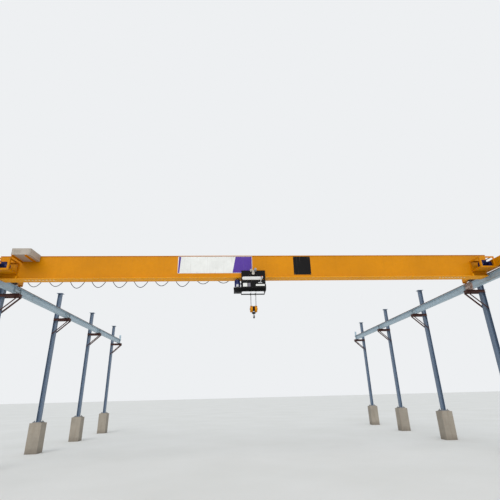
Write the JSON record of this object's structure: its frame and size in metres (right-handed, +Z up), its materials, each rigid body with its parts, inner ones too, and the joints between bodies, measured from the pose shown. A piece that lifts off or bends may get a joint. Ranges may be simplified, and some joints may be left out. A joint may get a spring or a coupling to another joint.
{
  "type": "overhead bridge crane",
  "caption": "Single-girder overhead travelling crane with an underslung wire-rope hoist, on bracketed runway beams between two rows of columns.",
  "frame": {"origin": "on the floor, under the middle of the span and the middle of the runway", "axes": "+X along the girder to the right rail, +Y along the runway away from the picture's viewpoint, +Z up"},
  "size_m": [18.6, 18.5, 6.9],
  "materials": {
    "runway_paint": "satin light blue-grey paint",
    "column_paint": "satin blue-grey paint",
    "oxide_paint": "matte red-oxide primer, darkened",
    "concrete": "rough cast concrete",
    "crane_paint": "semi-gloss orange-yellow paint",
    "panel_paint": "semi-gloss warm grey paint",
    "black_paint": "semi-gloss black paint",
    "motor_paint": "semi-gloss navy paint",
    "cast_housing": "as-cast aluminium",
    "galvanised": "galvanised steel",
    "bare_steel": "worn steel",
    "black_rubber": "matte rubber"
  },
  "bodies": {
    "runway": {"pedestals": "concrete", "columns": "column_paint", "brackets": "oxide_paint", "runway_beams": "runway_paint", "splice_plates": "runway_paint", "rails": "bare_steel", "end_stops": "runway_paint"},
    "bridge": {"front_web": "crane_paint", "back_web": "crane_paint", "top_flange": "crane_paint", "bottom_flange": "crane_paint", "girder_end_plates": "crane_paint", "left_end_carriage": "crane_paint", "right_end_carriage": "crane_paint", "bearing_housings": "crane_paint", "buffers": "black_rubber", "left_motor_guard": "crane_paint", "right_motor_guard": "crane_paint", "travel_motors": "motor_paint", "control_panel": "panel_paint", "panel_arms": "crane_paint", "festoon_track": "galvanised", "festoon_carriers": "black_paint", "festoon_cable": "black_rubber"},
    "trolley": {"trolley_plates": "black_paint", "trolley_wheels": "bare_steel", "travel_drive": "cast_housing", "cross_travel_motor": "cast_housing", "hoist_frame": "black_paint", "hoist_box": "black_paint", "hoist_motor": "motor_paint", "motor_terminal_box": "cast_housing", "brake_box": "black_paint", "hoist_gearbox": "black_paint", "tow_arm": "galvanised", "rope_leads": "bare_steel", "hoist_ropes": "bare_steel"},
    "drum": {"rope_drum": "bare_steel"},
    "block": {"block_yoke": "black_paint", "sheave_covers": "crane_paint"},
    "hook": {"hook": "black_paint"},
    "wheel_left_front": {"wheel_left_front": "bare_steel"},
    "wheel_right_front": {"wheel_right_front": "bare_steel"},
    "wheel_left_back": {"wheel_left_back": "bare_steel"},
    "wheel_right_back": {"wheel_right_back": "bare_steel"}
  },
  "joints": [
    {"name": "bridge_travel", "type": "slide", "parent": "runway", "child": "bridge", "axis": [0, 1, 0], "range_m": [-1.9, 13.2]},
    {"name": "trolley_travel", "type": "slide", "parent": "bridge", "child": "trolley", "axis": [1, 0, 0], "range_m": [-6.6, 7], "deforming": ["festoon_cable"]},
    {"name": "hoist_lift", "type": "slide", "parent": "trolley", "child": "block", "axis": [0, 0, 1], "range_m": [-4.2, 0.2], "deforming": ["hoist_ropes"]},
    {"name": "hook_swivel", "type": "hinge", "parent": "block", "child": "hook", "pos_m": [0, -5.67, 4.6], "axis": [0, 0, 1], "continuous": true},
    {"name": "drum_spin", "type": "hinge", "parent": "trolley", "child": "drum", "pos_m": [0, -5.67, 5.52], "axis": [1, 0, 0], "range_deg": [-250, 3800]},
    {"name": "wheel_left_front_roll", "type": "hinge", "parent": "bridge", "child": "wheel_left_front", "pos_m": [-8.55, -6.57, 6.0953], "axis": [1, 0, 0], "range_deg": [-6100, 900]},
    {"name": "wheel_right_front_roll", "type": "hinge", "parent": "bridge", "child": "wheel_right_front", "pos_m": [8.55, -6.57, 6.0953], "axis": [1, 0, 0], "range_deg": [-6100, 900]},
    {"name": "wheel_left_back_roll", "type": "hinge", "parent": "bridge", "child": "wheel_left_back", "pos_m": [-8.55, -4.77, 6.0953], "axis": [1, 0, 0], "range_deg": [-6100, 900]},
    {"name": "wheel_right_back_roll", "type": "hinge", "parent": "bridge", "child": "wheel_right_back", "pos_m": [8.55, -4.77, 6.0953], "axis": [1, 0, 0], "range_deg": [-6100, 900]}
  ],
  "couplings": [
    {"joint": "drum_spin", "follows": "hoist_lift", "rad_per_m": -14.815},
    {"joint": "wheel_left_front_roll", "follows": "bridge_travel", "rad_per_m": -8},
    {"joint": "wheel_right_front_roll", "follows": "bridge_travel", "rad_per_m": -8},
    {"joint": "wheel_left_back_roll", "follows": "bridge_travel", "rad_per_m": -8},
    {"joint": "wheel_right_back_roll", "follows": "bridge_travel", "rad_per_m": -8}
  ]
}
